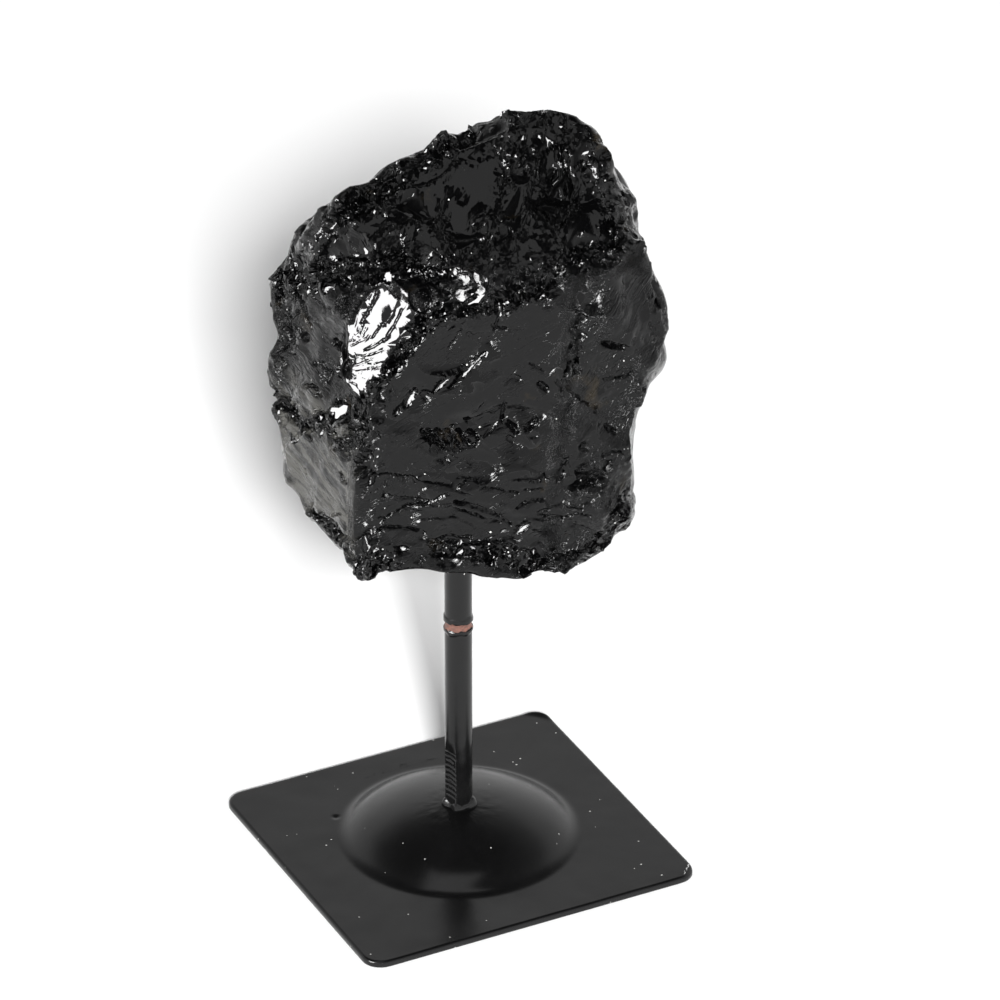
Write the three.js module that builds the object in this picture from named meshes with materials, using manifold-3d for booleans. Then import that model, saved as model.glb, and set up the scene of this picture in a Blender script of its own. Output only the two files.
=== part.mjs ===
// A rough lump of black tourmaline on a steel rod, standing on a pressed sheet-steel base plate.
// Millimetres, +Z up. The plate lies square to X and Y, and the stone is turned on its rod.
import * as THREE from 'three';
import { mergeVertices } from 'three/addons/utils/BufferGeometryUtils.js';
import Module from 'manifold-3d';

const wasm = await Module();
wasm.setup();

// ---------------------------------------------------------------- driving dimensions
const GAP = 0.3; // clearance between pieces that touch

const PLATE_LENGTH = 80; // along X
const PLATE_WIDTH = 75.3; // along Y
const PLATE_THICKNESS = 1.5;
const PLATE_CORNER_RADIUS = 3;

const DOME_RISE = 8.3; // height of the pressed dome over the flat of the plate
const DOME_SLOPE = THREE.MathUtils.degToRad(32); // steepest slope, where cap and foot fillet meet
const DOME_CAP_RADIUS = 24; // radius on plan of the round cap
const DOME_FOOT_RADIUS = 29; // radius on plan where the foot fillet reaches the flat

const ROD_RADIUS = 3;
const ROD_TOP = 106; // end of the rod, inside the stone
const ROD_TAIL = 1; // length of rod that stands out below the roof of the dome
const BEAD_RISE = 1.3; // weld bead at the foot of the rod
const BEAD_WIDTH = 1.2;
const BEAD_EDGE = 0.2; // blunt lower edge of the bead
const RIB_START = 14; // ribbed stretch above the weld
const RIB_END = 26;
const RIB_PITCH = 1.1;
const RIB_DEPTH = 0.18;
const BAND_HEIGHT = 56.4; // middle of the bare ring
const BAND_LENGTH = 1.7;
const BAND_DEPTH = 0.25;
const LIP_LENGTH = 2.2; // swollen paint above and below the bare ring
const LIP_CREST = 0.9; // part of the lip at its full rise, next to the ring
const LIP_EDGE = 0.1; // slope of the paint's broken edge
const LIP_RISE = 0.22;

const STONE_TURN = THREE.MathUtils.degToRad(-27); // turn of the stone on the rod, seen from above
const STONE_MIDDLE = new THREE.Vector3(2, 0, 127); // point that the facets are measured from
const HOLE_RADIUS = ROD_RADIUS + GAP;

// Broken faces of the stone. Azimuth 0 faces -Y and 90 faces +X, elevation 90 faces up, and the
// distance is measured from the middle of the stone.
const FACETS = {
  front: { azimuth: 4, elevation: 8, distance: 22.1 },
  topSlope: { azimuth: -2, elevation: 57, distance: 30.4 },
  leftSide: { azimuth: -61, elevation: 5, distance: 29.2 },
  rightSide: { azimuth: 90, elevation: 0, distance: 42.6 },
  rightFront: { azimuth: 52, elevation: 6, distance: 39.5 },
  cornerBevel: { azimuth: -24, elevation: 30, distance: 27 },
  brow: { azimuth: -6, elevation: 36, distance: 27.6 },
  rightUpper: { azimuth: 98, elevation: 13, distance: 41.4 },
  rightLower: { azimuth: 84, elevation: -10, distance: 41.4 },
  rightShoulder: { azimuth: 108, elevation: 28, distance: 44.6 },
  crown: { azimuth: 163, elevation: 58, distance: 49 },
  crownLeft: { azimuth: -151, elevation: 56, distance: 43.4 },
  leftShoulder: { azimuth: -131, elevation: 48, distance: 38.8 },
  leftUpper: { azimuth: -112, elevation: 32, distance: 41 },
  leftEdge: { azimuth: -90, elevation: 0, distance: 42.2 },
  leftLower: { azimuth: -84, elevation: -9, distance: 43.8 },
  chinLeft: { azimuth: -68, elevation: -32, distance: 49.4 },
  chinFront: { azimuth: 0, elevation: -59, distance: 52.4 },
  chinRight: { azimuth: 56, elevation: -43, distance: 52.4 },
  underside: { azimuth: 0, elevation: -85, distance: 44.6 },
  back: { azimuth: 180, elevation: 5, distance: 30 },
  backLeft: { azimuth: -135, elevation: 5, distance: 44 },
  backRight: { azimuth: 135, elevation: 0, distance: 38 },
  backLower: { azimuth: 180, elevation: -45, distance: 42 },
  backUpper: { azimuth: 172, elevation: 30, distance: 39 },
  backSlant: { azimuth: 150, elevation: -25, distance: 41 },
  backLeftSlant: { azimuth: -155, elevation: -26, distance: 41 },
};

// Shell-shaped breaks. Each bowl is sunk into the spot on the faces that is seen at an azimuth and
// elevation from the middle of the stone, and it opens toward its facing. Width runs level and height
// runs up the face, and twist turns them.
const SCOOPS = [
  { name: 'temple', spot: [-84, 36], facing: [-34, 34], width: 25, height: 18, depth: 3.8, twist: -8 },
  { name: 'crest notch', spot: [180, 77], facing: [160, 62], width: 12, height: 14, depth: 3.5 },
  { name: 'waist', spot: [90, -29], facing: [84, -8], width: 120, height: 30, depth: 3.4, twist: -31 },
  { name: 'left panel', spot: [-75, 1], facing: [-50, 5], width: 19, height: 27, depth: 2.2 },
  { name: 'left low', spot: [-64, -48], facing: [-60, -2], width: 18, height: 26, depth: 1.3, twist: 12 },
  { name: 'chin arch', spot: [-15, -57], facing: [-4, -62], width: 27, height: 40, depth: 2.2 },
  { name: 'crescent', spot: [4, -20], facing: [8, 36], width: 29, height: 9, depth: 2.6, twist: 4 },
  { name: 'front broad', spot: [18, 8], facing: [4, 8], width: 64, height: 44, depth: 1.6, twist: 18 },
  { name: 'front low', spot: [-8, -47], facing: [2, -1], width: 46, height: 16, depth: 1.9, twist: -6 },
  { name: 'front lowest', spot: [28, -49], facing: [10, -10], width: 34, height: 11, depth: 1.6, twist: 14 },
  { name: 'front right', spot: [51, -5], facing: [27, 6], width: 22, height: 36, depth: 2.2, twist: -12 },
  { name: 'bevel hollow', spot: [-45, 24], facing: [-27, 27], width: 21, height: 27, depth: 1.3, twist: -30 },
  { name: 'right hollow', spot: [62, 27], facing: [60, 8], width: 20, height: 50, depth: 2.4, twist: -14 },
  { name: 'top left', spot: [-68, 59], facing: [-16, 54], width: 34, height: 24, depth: 2.4, twist: 20 },
  { name: 'top middle', spot: [-79, 86], facing: [8, 60], width: 24, height: 34, depth: 2.6, twist: -8 },
  { name: 'top groove', spot: [119, 66], facing: [0, 46], width: 9, height: 30, depth: 3, twist: 6 },
  { name: 'top crease', spot: [85, 72], facing: [-14, 52], width: 10, height: 32, depth: 2.4, twist: -8 },
  { name: 'top right', spot: [77, 52], facing: [16, 50], width: 24, height: 26, depth: 2.8, twist: -20 },
  { name: 'crown step', spot: [-117, 77], facing: [-34, 42], width: 17, height: 22, depth: 2.2, twist: 24 },
  { name: 'shoulder', spot: [93, 43], facing: [60, 44], width: 16, height: 18, depth: 2 },
  { name: 'brow notch', spot: [-17, 51], facing: [-12, 44], width: 16, height: 11, depth: 1.8, twist: 10 },
  { name: 'brow right', spot: [41, 48], facing: [6, 40], width: 20, height: 8, depth: 1.6, twist: -6 },
  { name: 'brow step', spot: [51, 34], facing: [14, 20], width: 24, height: 13, depth: 1.8, twist: -10 },
  { name: 'low right step', spot: [54, -31], facing: [38, 10], width: 20, height: 16, depth: 2.2, twist: 12 },
  { name: 'side pit', spot: [48, -30], facing: [22, 28], width: 9, height: 8, depth: 2.6, twist: 30 },
  { name: 'low right', spot: [49, -41], facing: [42, -18], width: 22, height: 15, depth: 2.6, twist: 20 },
  { name: 'under left', spot: [-120, -69], facing: [-60, -82], width: 26, height: 20, depth: 2.2 },
  { name: 'under right', spot: [107, -64], facing: [80, -76], width: 30, height: 30, depth: 3 },
  { name: 'back broad', spot: [176, 12], facing: [178, 10], width: 44, height: 38, depth: 3, twist: 25 },
  { name: 'back low', spot: [-165, -32], facing: [-172, -12], width: 34, height: 22, depth: 2.4, twist: -10 },
  { name: 'back left', spot: [-128, 10], facing: [-134, 8], width: 30, height: 34, depth: 2.6, twist: 12 },
  { name: 'back left low', spot: [-125, -30], facing: [-132, -6], width: 26, height: 20, depth: 2.2 },
  { name: 'back right', spot: [128, 15], facing: [132, 4], width: 26, height: 34, depth: 2.4, twist: -16 },
  { name: 'back right low', spot: [125, -32], facing: [130, -6], width: 28, height: 22, depth: 2.4 },
  { name: 'right flank', spot: [95, 5], facing: [92, 2], width: 24, height: 34, depth: 1.8, twist: 20 },
];

// Ledges: below a level line through the spot, the face is broken back by the depth.
const LEDGES = [
  { name: 'left ledge', spot: [-74, -28], facing: [-61, 8], width: 90, height: 34, depth: 1.8, twist: 12 },
  { name: 'back ledge', spot: [180, -10], facing: [178, -3], width: 100, height: 30, depth: 2.2, twist: 10 },
];

// Small chips along the ridges between faces, and shallow flakes off the faces: least and most sizes.
const RIDGE_CHIPS = { count: 150, width: [6, 14], height: [4, 9], depth: [1, 2] };
const FACE_FLAKES = { count: 110, width: [10, 22], height: [6, 12], depth: [0.7, 1.3] };
const CHIP_SEED = 20;
const CHIP_TILT = 0.2; // most that a chip's facing leans off square, as a slope
const RIDGE_REACH = 1.05; // a spot is on a ridge where the next face is within this ratio

// ---------------------------------------------------------------- helpers
const UP = new THREE.Vector3(0, 0, 1);
const THROUGH = 100; // longer than any piece that a hole is cut through
const HOLE_SEGMENTS = 32;
const BOWL_CURVE = 4; // ball radius of a bowl, in depths
// How coarsely a bowl is faceted, by the longer side of its rim. The coarse ones are swollen a
// little, so that their flats still sink below the rim.
const BOWL_FACETS = [
  { under: 16, detail: 0, swell: 1.15 },
  { under: 32, detail: 1, swell: 1.02 },
  { under: 60, detail: 2, swell: 1 },
  { under: Infinity, detail: 3, swell: 1 },
];

function solid(geometry) {
  const bare = geometry.clone();
  bare.deleteAttribute('normal');
  bare.deleteAttribute('uv');
  const merged = mergeVertices(bare, 1e-4);
  return new wasm.Manifold(new wasm.Mesh({
    numProp: 3,
    vertProperties: new Float32Array(merged.attributes.position.array),
    triVerts: new Uint32Array(merged.index.array),
  }));
}

function toGeometry(body) {
  const mesh = body.getMesh();
  const geometry = new THREE.BufferGeometry();
  geometry.setAttribute('position', new THREE.BufferAttribute(mesh.vertProperties, 3));
  geometry.setIndex(new THREE.BufferAttribute(mesh.triVerts, 1));
  geometry.computeVertexNormals();
  return geometry;
}

function piece(name, geometry, color, roughness, metalness) {
  const material = new THREE.MeshStandardMaterial({ color, roughness, metalness });
  const mesh = new THREE.Mesh(geometry, material);
  mesh.name = name;
  return mesh;
}

function direction(azimuth, elevation) {
  const a = THREE.MathUtils.degToRad(azimuth);
  const e = THREE.MathUtils.degToRad(elevation);
  return new THREE.Vector3(Math.sin(a) * Math.cos(e), -Math.cos(a) * Math.cos(e), Math.sin(e));
}

// A turned solid of revolution about Z from [radius, height] pairs that start and end on the axis.
function turned(profile, segments) {
  const points = profile.map(([radius, height]) => new THREE.Vector2(radius, height));
  return new THREE.LatheGeometry(points, segments).rotateX(Math.PI / 2);
}

// A long upright cylinder that clears the rod, centred on the origin.
function rodHole() {
  return new THREE.CylinderGeometry(HOLE_RADIUS, HOLE_RADIUS, THROUGH, HOLE_SEGMENTS).rotateX(Math.PI / 2);
}

// ---------------------------------------------------------------- base plate
const DOME_SEGMENTS = 44;
const DOME_STEPS = 10;

// Height of the pressed dome over the flat: a round cap that runs out in a fillet at its foot.
function domeHeight(radius) {
  const capBall = DOME_CAP_RADIUS / Math.sin(DOME_SLOPE);
  const filletBall = (DOME_FOOT_RADIUS - DOME_CAP_RADIUS) / Math.sin(DOME_SLOPE);
  const filletRise = filletBall * (1 - Math.cos(DOME_SLOPE));
  const capDrop = capBall * (1 - Math.cos(DOME_SLOPE));
  const stretch = DOME_RISE / (capDrop + filletRise);
  if (radius >= DOME_FOOT_RADIUS) {
    return 0;
  }
  if (radius <= DOME_CAP_RADIUS) {
    const drop = capBall - Math.sqrt(capBall ** 2 - radius ** 2);
    return stretch * (capDrop + filletRise - drop);
  }
  const left = DOME_FOOT_RADIUS - radius;
  return stretch * (filletBall - Math.sqrt(filletBall ** 2 - left ** 2));
}

// Solid under the dome's curve, from a flat base up to the curve raised by the lift.
function domeSolid(base, lift) {
  const profile = [[0, lift + domeHeight(0)]];
  for (let i = 1; i <= DOME_STEPS; i += 1) {
    const radius = (DOME_FOOT_RADIUS * i) / DOME_STEPS;
    profile.push([radius, lift + domeHeight(radius)]);
  }
  profile.push([DOME_FOOT_RADIUS, base]);
  profile.push([0, base]);
  return solid(turned(profile.reverse(), DOME_SEGMENTS));
}

function basePlate() {
  const x = PLATE_LENGTH / 2;
  const y = PLATE_WIDTH / 2;
  const r = PLATE_CORNER_RADIUS;
  const outline = new THREE.Shape();
  outline.moveTo(-x + r, -y);
  outline.absarc(x - r, -y + r, r, -Math.PI / 2, 0, false);
  outline.absarc(x - r, y - r, r, 0, Math.PI / 2, false);
  outline.absarc(-x + r, y - r, r, Math.PI / 2, Math.PI, false);
  outline.absarc(-x + r, -y + r, r, Math.PI, Math.PI * 1.5, false);
  const sheet = new THREE.ExtrudeGeometry(outline, {
    depth: PLATE_THICKNESS, bevelEnabled: false, curveSegments: 8,
  });
  const dome = domeSolid(PLATE_THICKNESS / 2, PLATE_THICKNESS);
  const hollow = domeSolid(-1, 0);
  return toGeometry(solid(sheet).add(dome).subtract(hollow).subtract(solid(rodHole())));
}

// ---------------------------------------------------------------- rod
const ROD_SEGMENTS = 20;

function rod() {
  const roof = PLATE_THICKNESS + domeHeight(ROD_RADIUS + BEAD_WIDTH);
  const tail = roof - PLATE_THICKNESS - ROD_TAIL;
  const beadFoot = roof + GAP;
  const bandFoot = BAND_HEIGHT - BAND_LENGTH / 2;
  const bandHead = BAND_HEIGHT + BAND_LENGTH / 2;
  const profile = [[0, tail], [ROD_RADIUS, tail]];
  profile.push([ROD_RADIUS, PLATE_THICKNESS + DOME_RISE + GAP]);
  profile.push([ROD_RADIUS + BEAD_WIDTH, beadFoot + BEAD_EDGE]);
  profile.push([ROD_RADIUS + BEAD_WIDTH / 2, beadFoot + 0.7 * BEAD_RISE]);
  profile.push([ROD_RADIUS, beadFoot + BEAD_RISE]);
  for (let z = RIB_START; z < RIB_END; z += RIB_PITCH) {
    profile.push([ROD_RADIUS, z]);
    profile.push([ROD_RADIUS - RIB_DEPTH, z + RIB_PITCH / 2]);
  }
  profile.push([ROD_RADIUS, bandFoot - LIP_LENGTH]);
  profile.push([ROD_RADIUS + LIP_RISE, bandFoot - LIP_CREST]);
  profile.push([ROD_RADIUS + LIP_RISE, bandFoot - LIP_EDGE]);
  profile.push([ROD_RADIUS - BAND_DEPTH, bandFoot]);
  profile.push([ROD_RADIUS - BAND_DEPTH, bandHead]);
  profile.push([ROD_RADIUS + LIP_RISE, bandHead + LIP_EDGE]);
  profile.push([ROD_RADIUS + LIP_RISE, bandHead + LIP_CREST]);
  profile.push([ROD_RADIUS, bandHead + LIP_LENGTH]);
  profile.push([ROD_RADIUS, ROD_TOP]);
  profile.push([0, ROD_TOP]);
  return turned(profile, ROD_SEGMENTS);
}

// ---------------------------------------------------------------- stone
// The block between all the flat faces, before anything is broken off it.
function roughBlock() {
  const size = 200;
  let block = solid(new THREE.BoxGeometry(size, size, size));
  for (const { azimuth, elevation, distance } of Object.values(FACETS)) {
    const normal = direction(azimuth, elevation);
    const waste = new THREE.BoxGeometry(2 * size, 2 * size, size);
    waste.applyQuaternion(new THREE.Quaternion().setFromUnitVectors(UP, normal));
    waste.translate(...normal.clone().multiplyScalar(distance + size / 2).toArray());
    block = block.subtract(solid(waste));
  }
  return block;
}

// Placement on the spot with its Z along the facing, its X level to the right and its Y up the face.
function facingFrame({ spot, facing, twist = 0 }) {
  const ray = direction(...spot);
  const origin = ray.clone().multiplyScalar(facetsAlong(ray)[0].reach);
  const normal = direction(...facing);
  const right = new THREE.Vector3().crossVectors(UP, normal).normalize();
  const upward = new THREE.Vector3().crossVectors(normal, right);
  const frame = new THREE.Matrix4().makeBasis(right, upward, normal);
  frame.multiply(new THREE.Matrix4().makeRotationZ(THREE.MathUtils.degToRad(twist)));
  frame.setPosition(origin);
  return frame;
}

// A bowl whose rim on a flat face is width by height, and whose floor is sunk by the depth.
function bowl(scoop) {
  const { spot, width, height, depth } = scoop;
  const ball = BOWL_CURVE * depth;
  const rim = Math.sqrt(ball ** 2 - (ball - depth) ** 2);
  const { detail, swell } = BOWL_FACETS.find(({ under }) => Math.max(width, height) < under);
  const shape = new THREE.IcosahedronGeometry(ball * swell, detail);
  shape.rotateX(spot[0]);
  shape.rotateY(spot[1]);
  shape.scale(width / 2 / rim, height / 2 / rim, 1);
  shape.translate(0, 0, ball - depth);
  shape.applyMatrix4(facingFrame(scoop));
  return solid(shape);
}

function ledgeBlock(ledge) {
  const { width, height, depth } = ledge;
  const reach = 60; // out past the face
  const shape = new THREE.BoxGeometry(width, height, reach);
  shape.translate(0, -height / 2, reach / 2 - depth);
  shape.applyMatrix4(facingFrame(ledge));
  return solid(shape);
}

// Repeatable random numbers from 0 to 1, by the usual linear congruence.
function randomSource(seed) {
  const modulus = 2 ** 32;
  let state = seed;
  return () => {
    state = (state * 1664525 + 1013904223) % modulus;
    return state / modulus;
  };
}

// The two facets that a ray from the middle of the stone leaves through first.
function facetsAlong(ray) {
  const hits = Object.values(FACETS).map(({ azimuth, elevation, distance }) => {
    const normal = direction(azimuth, elevation);
    const slope = normal.dot(ray);
    return { normal, reach: slope > 0.01 ? distance / slope : Infinity };
  });
  return hits.sort((a, b) => a.reach - b.reach).slice(0, 2);
}

function chips() {
  const random = randomSource(CHIP_SEED);
  const between = (low, high) => low + (high - low) * random();
  const lean = () => between(-CHIP_TILT, CHIP_TILT);
  const left = { ridge: RIDGE_CHIPS.count, face: FACE_FLAKES.count };
  const found = [];
  while (left.ridge > 0 || left.face > 0) {
    const spot = [between(-180, 180), THREE.MathUtils.radToDeg(Math.asin(between(-1, 1)))];
    const [first, second] = facetsAlong(direction(...spot));
    const onRidge = second.reach < first.reach * RIDGE_REACH;
    const place = onRidge ? 'ridge' : 'face';
    const sizes = onRidge ? RIDGE_CHIPS : FACE_FLAKES;
    const facing = onRidge ? first.normal.clone().add(second.normal) : first.normal.clone();
    facing.add(new THREE.Vector3(lean(), lean(), lean())).normalize();
    const chip = {
      spot,
      facing: [Math.atan2(facing.x, -facing.y), Math.asin(facing.z)].map(THREE.MathUtils.radToDeg),
      width: between(...sizes.width),
      height: between(...sizes.height),
      depth: between(...sizes.depth),
      twist: between(0, 180),
    };
    if (left[place] > 0) {
      found.push(chip);
      left[place] -= 1;
    }
  }
  return found;
}

function stone() {
  let block = roughBlock();
  for (const ledge of LEDGES) {
    block = block.subtract(ledgeBlock(ledge));
  }
  for (const scoop of [...SCOOPS, ...chips()]) {
    block = block.subtract(bowl(scoop));
  }
  const holeTop = ROD_TOP + GAP - STONE_MIDDLE.z;
  const hole = rodHole().translate(-STONE_MIDDLE.x, -STONE_MIDDLE.y, holeTop - THROUGH / 2);
  return toGeometry(block.subtract(solid(hole)));
}

// ---------------------------------------------------------------- assembly
const object = new THREE.Group();
const stoneMesh = piece('stone', stone(), 0x0b0b0c, 0.12, 0);
stoneMesh.rotation.z = STONE_TURN;
stoneMesh.position.copy(STONE_MIDDLE).applyAxisAngle(UP, STONE_TURN);
object.add(piece('base_plate', basePlate(), 0x111214, 0.28, 0.3));
object.add(piece('rod', rod(), 0x131313, 0.35, 0.3));
object.add(stoneMesh);

// The origin is under the middle of the whole object, on the surface that it stands on.
object.updateMatrixWorld(true);
const middle = new THREE.Box3().setFromObject(object, true).getCenter(new THREE.Vector3());
object.position.set(-middle.x, -middle.y, 0);

export default object;
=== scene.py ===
"""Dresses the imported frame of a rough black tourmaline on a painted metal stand."""

import collections
import itertools
import math

import bmesh
import bpy
import numpy as np
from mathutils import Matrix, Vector
from mathutils.bvhtree import BVHTree
from mathutils.kdtree import KDTree


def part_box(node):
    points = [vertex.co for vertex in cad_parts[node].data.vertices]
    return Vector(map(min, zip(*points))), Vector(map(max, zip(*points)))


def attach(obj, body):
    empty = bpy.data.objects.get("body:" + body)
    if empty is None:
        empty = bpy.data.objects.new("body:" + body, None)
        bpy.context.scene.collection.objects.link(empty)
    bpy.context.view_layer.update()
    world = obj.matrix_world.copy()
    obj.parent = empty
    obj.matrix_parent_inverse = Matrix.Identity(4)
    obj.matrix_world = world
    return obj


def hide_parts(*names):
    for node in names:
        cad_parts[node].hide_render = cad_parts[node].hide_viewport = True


MM = 0.001
SEED = 7
WORD = 2**32 - 1

# ---------------------------------------------------------------- the photograph's view
VIEW_AZIMUTH = -26.95  # degrees; 0 looks along +Y
VIEW_ELEVATION = 30.73
VIEW_DISTANCE = 1574.8  # mm from the camera to the aim
AIM_HEIGHT = 87.1  # mm above the surface the stand is on
AIM_SIDE = 9.03  # mm from the rod's axis to the aim, to the camera's right
LENS = 264.35  # mm, on a 36 mm sensor
SENSOR = 36.0


def compass(azimuth, elevation):
    """Unit vector from the object towards a camera at that azimuth and elevation in degrees."""
    a, e = math.radians(azimuth), math.radians(elevation)
    return np.array([math.sin(a) * math.cos(e), -math.cos(a) * math.cos(e), math.sin(e)])


BACK = compass(VIEW_AZIMUTH, VIEW_ELEVATION)  # from the aim to the camera
RIGHT = compass(VIEW_AZIMUTH + 90, 0)
UP = np.cross(BACK, RIGHT)

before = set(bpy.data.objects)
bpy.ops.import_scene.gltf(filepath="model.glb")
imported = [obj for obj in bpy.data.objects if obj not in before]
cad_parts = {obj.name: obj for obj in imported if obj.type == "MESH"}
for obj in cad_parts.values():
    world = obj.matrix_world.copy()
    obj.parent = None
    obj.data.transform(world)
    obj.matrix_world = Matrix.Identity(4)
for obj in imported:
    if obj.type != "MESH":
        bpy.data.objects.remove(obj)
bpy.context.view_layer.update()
rod_low, rod_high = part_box("rod")
cad_plate_low, cad_plate_high = (np.array(corner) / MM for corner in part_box("base_plate"))
ROD_AXIS = np.array([rod_low.x + rod_high.x, rod_low.y + rod_high.y]) / 2 / MM
AIM = np.array([*ROD_AXIS, AIM_HEIGHT]) + AIM_SIDE * RIGHT
CAMERA = AIM + VIEW_DISTANCE * BACK


def in_picture(points):
    """Where points in mm show in the picture: across and up from its middle, in mm at the aim."""
    offset = points - CAMERA
    away = -(offset @ BACK)
    return VIEW_DISTANCE * (offset @ RIGHT) / away, VIEW_DISTANCE * (offset @ UP) / away


def picture_ray(across, up):
    """Direction from the camera through a place in the picture."""
    ray = across * RIGHT + up * UP - VIEW_DISTANCE * BACK
    return ray / np.linalg.norm(ray)


def placed(name, data):
    """A new object in the scene."""
    made = bpy.data.objects.new(name, data)
    bpy.context.scene.collection.objects.link(made)
    return made


def aim(thing, place, direction):
    """Puts a camera or a lamp at a place in metres, looking in that direction."""
    thing.location = Vector(place)
    thing.rotation_mode = "QUATERNION"
    thing.rotation_quaternion = Vector(direction).to_track_quat("-Z", "Y")


def make_camera():
    data = bpy.data.cameras.new("camera")
    data.lens = LENS
    data.sensor_width = SENSOR
    data.clip_start = 0.05
    data.clip_end = 50
    camera = placed("camera", data)
    aim(camera, CAMERA * MM, -BACK)
    bpy.context.scene.camera = camera


# ---------------------------------------------------------------- sizes, in mm
COARSER = 1.0
FINEST_EDGE = 0.45 * COARSER  # longest edge of the stone's mesh where it has fine lines
FINE_EDGE = 0.68 * COARSER  # and on the rest of the photographed side
COARSE_EDGE = 1.1 * COARSER
HALVINGS = 9  # most times that an edge is halved
STONE_TRIANGLES = 194000  # what is left once its flat parts are thinned out
RIDGE_ANGLE = math.radians(25)  # a sharper edge of the CAD stone is a ridge
RIDGE_STEP = 0.8  # between the places that mark a ridge
RIDGE_REACH = (0.8, 3.0)  # how far from a ridge its effect begins to fade, and ends
EDGE_REACH = (1.5, 4.5)  # and the same for the straight edges
SHARP_ANGLE = math.radians(38)  # edges sharper than this are shaded sharp
NORMAL_ROUNDS, RIDGE_ROUNDS, EDGE_ROUNDS, OUTLINE_ROUNDS = 12, 10, 60, 16  # of blurring
SIDE_ON = (0.12, 0.35)  # cosines to the camera between which a place stops being on the outline
CALMING = 0.9  # share of the blurring that the outline gets
WARP_SIZE = 11  # of the broad noise that bends the CAD stone
WARP_DEPTH = 0.8
BOWL_SAG = 0.35  # depth of a bowl where its half width is 1
BALL = (1 + BOWL_SAG**2) / (2 * BOWL_SAG)  # radius of the ball that it is a part of
DEEPEST_CUT = 1.5  # how far one bowl may push the surface in
# Bowls cut at random: how many, length, width to length, depth to half width, and lean.
Bowls = collections.namedtuple("Bowls", "count length slimness steepness tilt")
FACE_BOWLS = Bowls(110, (5, 15), (0.4, 0.9), (0.08, 0.22), 0.1)
TOP_CHIPS = Bowls(90, (4, 11), (0.35, 0.7), (0.02, 0.08), 0.2)
RIDGE_CHIPS = Bowls(600, (1.5, 5), (0.45, 1), (0.15, 0.4), 0.3)
SMALL_CHIPS = Bowls(1200, (1.0, 2.4), (0.45, 1), (0.2, 0.5), 0.4)
LAMP_CHIPS = Bowls(1000, (1.0, 3.4), (0.4, 0.9), (0.02, 0.05), 0.05)
SLASHES = Bowls(30, (1.5, 5), (0.12, 0.2), (0.5, 0.8), 0.05)
SLASH_TWIST = 50  # degrees from across to up in the picture, as all twists
TOP_TWIST = 80
TWIST_SPREAD = 12

# Places in the picture, across and up from its middle, in mm at the aim.
# An oval is given by its middle, half width, half height and turn.
BRIGHT_FACE = ((-25.0, 33.5), 8.5, 12.5, -16)
BRIGHT_NORMAL = compass(VIEW_AZIMUTH - 25, 28)  # mirrors the lamp at the front left
BRIGHT_RELIEF = 7  # the most that the stone is cut or filled to make the bright face
OVERHEAD = compass(VIEW_AZIMUTH - 20, 75)  # towards the lamp over the stone
FAN_CENTRE = (-34.0, 28.0)  # where the bright face's finest lines start
FAN_RADIUS = 12.0
FAN_WIDTH = 0.9
FAN_STRETCH = 0.15
FAN_DEPTH = 0.22
FAN_ENDS = (6, 14)  # how far from there they begin to fade, and end
LAMP_BELT = ((-16, 46.5), (5, 11))  # part of the belts that glitters most: middle and reach
FRONT_FACE = ((1.5, 24.0), 22.0, 18.0)
LEDGE_AREA = ((-1.0, -3.0), 29.0, 10.5)
LEDGE_HEIGHT = 4.2
LEDGE_DEPTH = 0.6
LEDGE_EDGE = 0.16
CRACK_SIZE = 3.5  # lumps of the noise whose zero lines are the fine cracks
CRACK_WIDTH = 0.12
CRACK_DEPTH = 0.5
CALM = (  # ovals that stay whole
    FRONT_FACE,
    BRIGHT_FACE,
    ((-3.0, -1.0), 24.0, 9.0),
    ((-38.5, 34.0), 6.0, 12.0),
    ((-38.0, 0.5), 8.0, 12.0, 20),
    ((-32.0, 57.0), 7.0, 5.0),
    ((-15.0, 66.0), 11.0, 5.0, 15),
    ((24.0, 36.0), 8.0, 17.0),
)
BELTS = (  # lines that the stone is broken up along, and how far to each side
    (((-48, 45), (-35.5, 49), (-22.5, 50.5), (-13, 47.5), (0, 43), (6.5, 46), (14, 51), (23.5, 53.5)), 2.6),
    (((-3, 42), (-13, 39.5), (-21.5, 32), (-27.5, 22)), 1.2),
    (((-47, 21), (-42, 16), (-35, 17.5), (-30, 20.5), (-30.5, 13), (-34, 12)), 1.8),
    (((-46.5, 52), (-47, 43), (-45, 33)), 1.8),
    (((-39, -4), (-33, -15), (-29, -15.5), (-24.5, -12.5)), 2.6),
    (((-13, -10.5), (0, -11), (8.5, -14), (19, -13), (25, -6.5), (27.5, 0)), 2.2),
    (((-34, 61), (-24.5, 67.5), (-13, 77)), 2.2),
    (((16, 36.5), (15.5, 29), (13.5, 24.5)), 1.0),
)
BRIGHT_OUTLINE = (
    (-31.7, 39.0), (-29.6, 42.9), (-26.8, 45.5), (-24.9, 45.7), (-22.1, 43.5), (-19.7, 42.5),
    (-18.9, 40.7), (-19.5, 36.9), (-21.0, 34.1), (-25.3, 29.2), (-25.9, 26.6), (-28.3, 24.9),
    (-28.7, 22.1), (-30.5, 23.2), (-31.7, 26.6), (-31.5, 30.9), (-32.2, 35.4),
)
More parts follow.
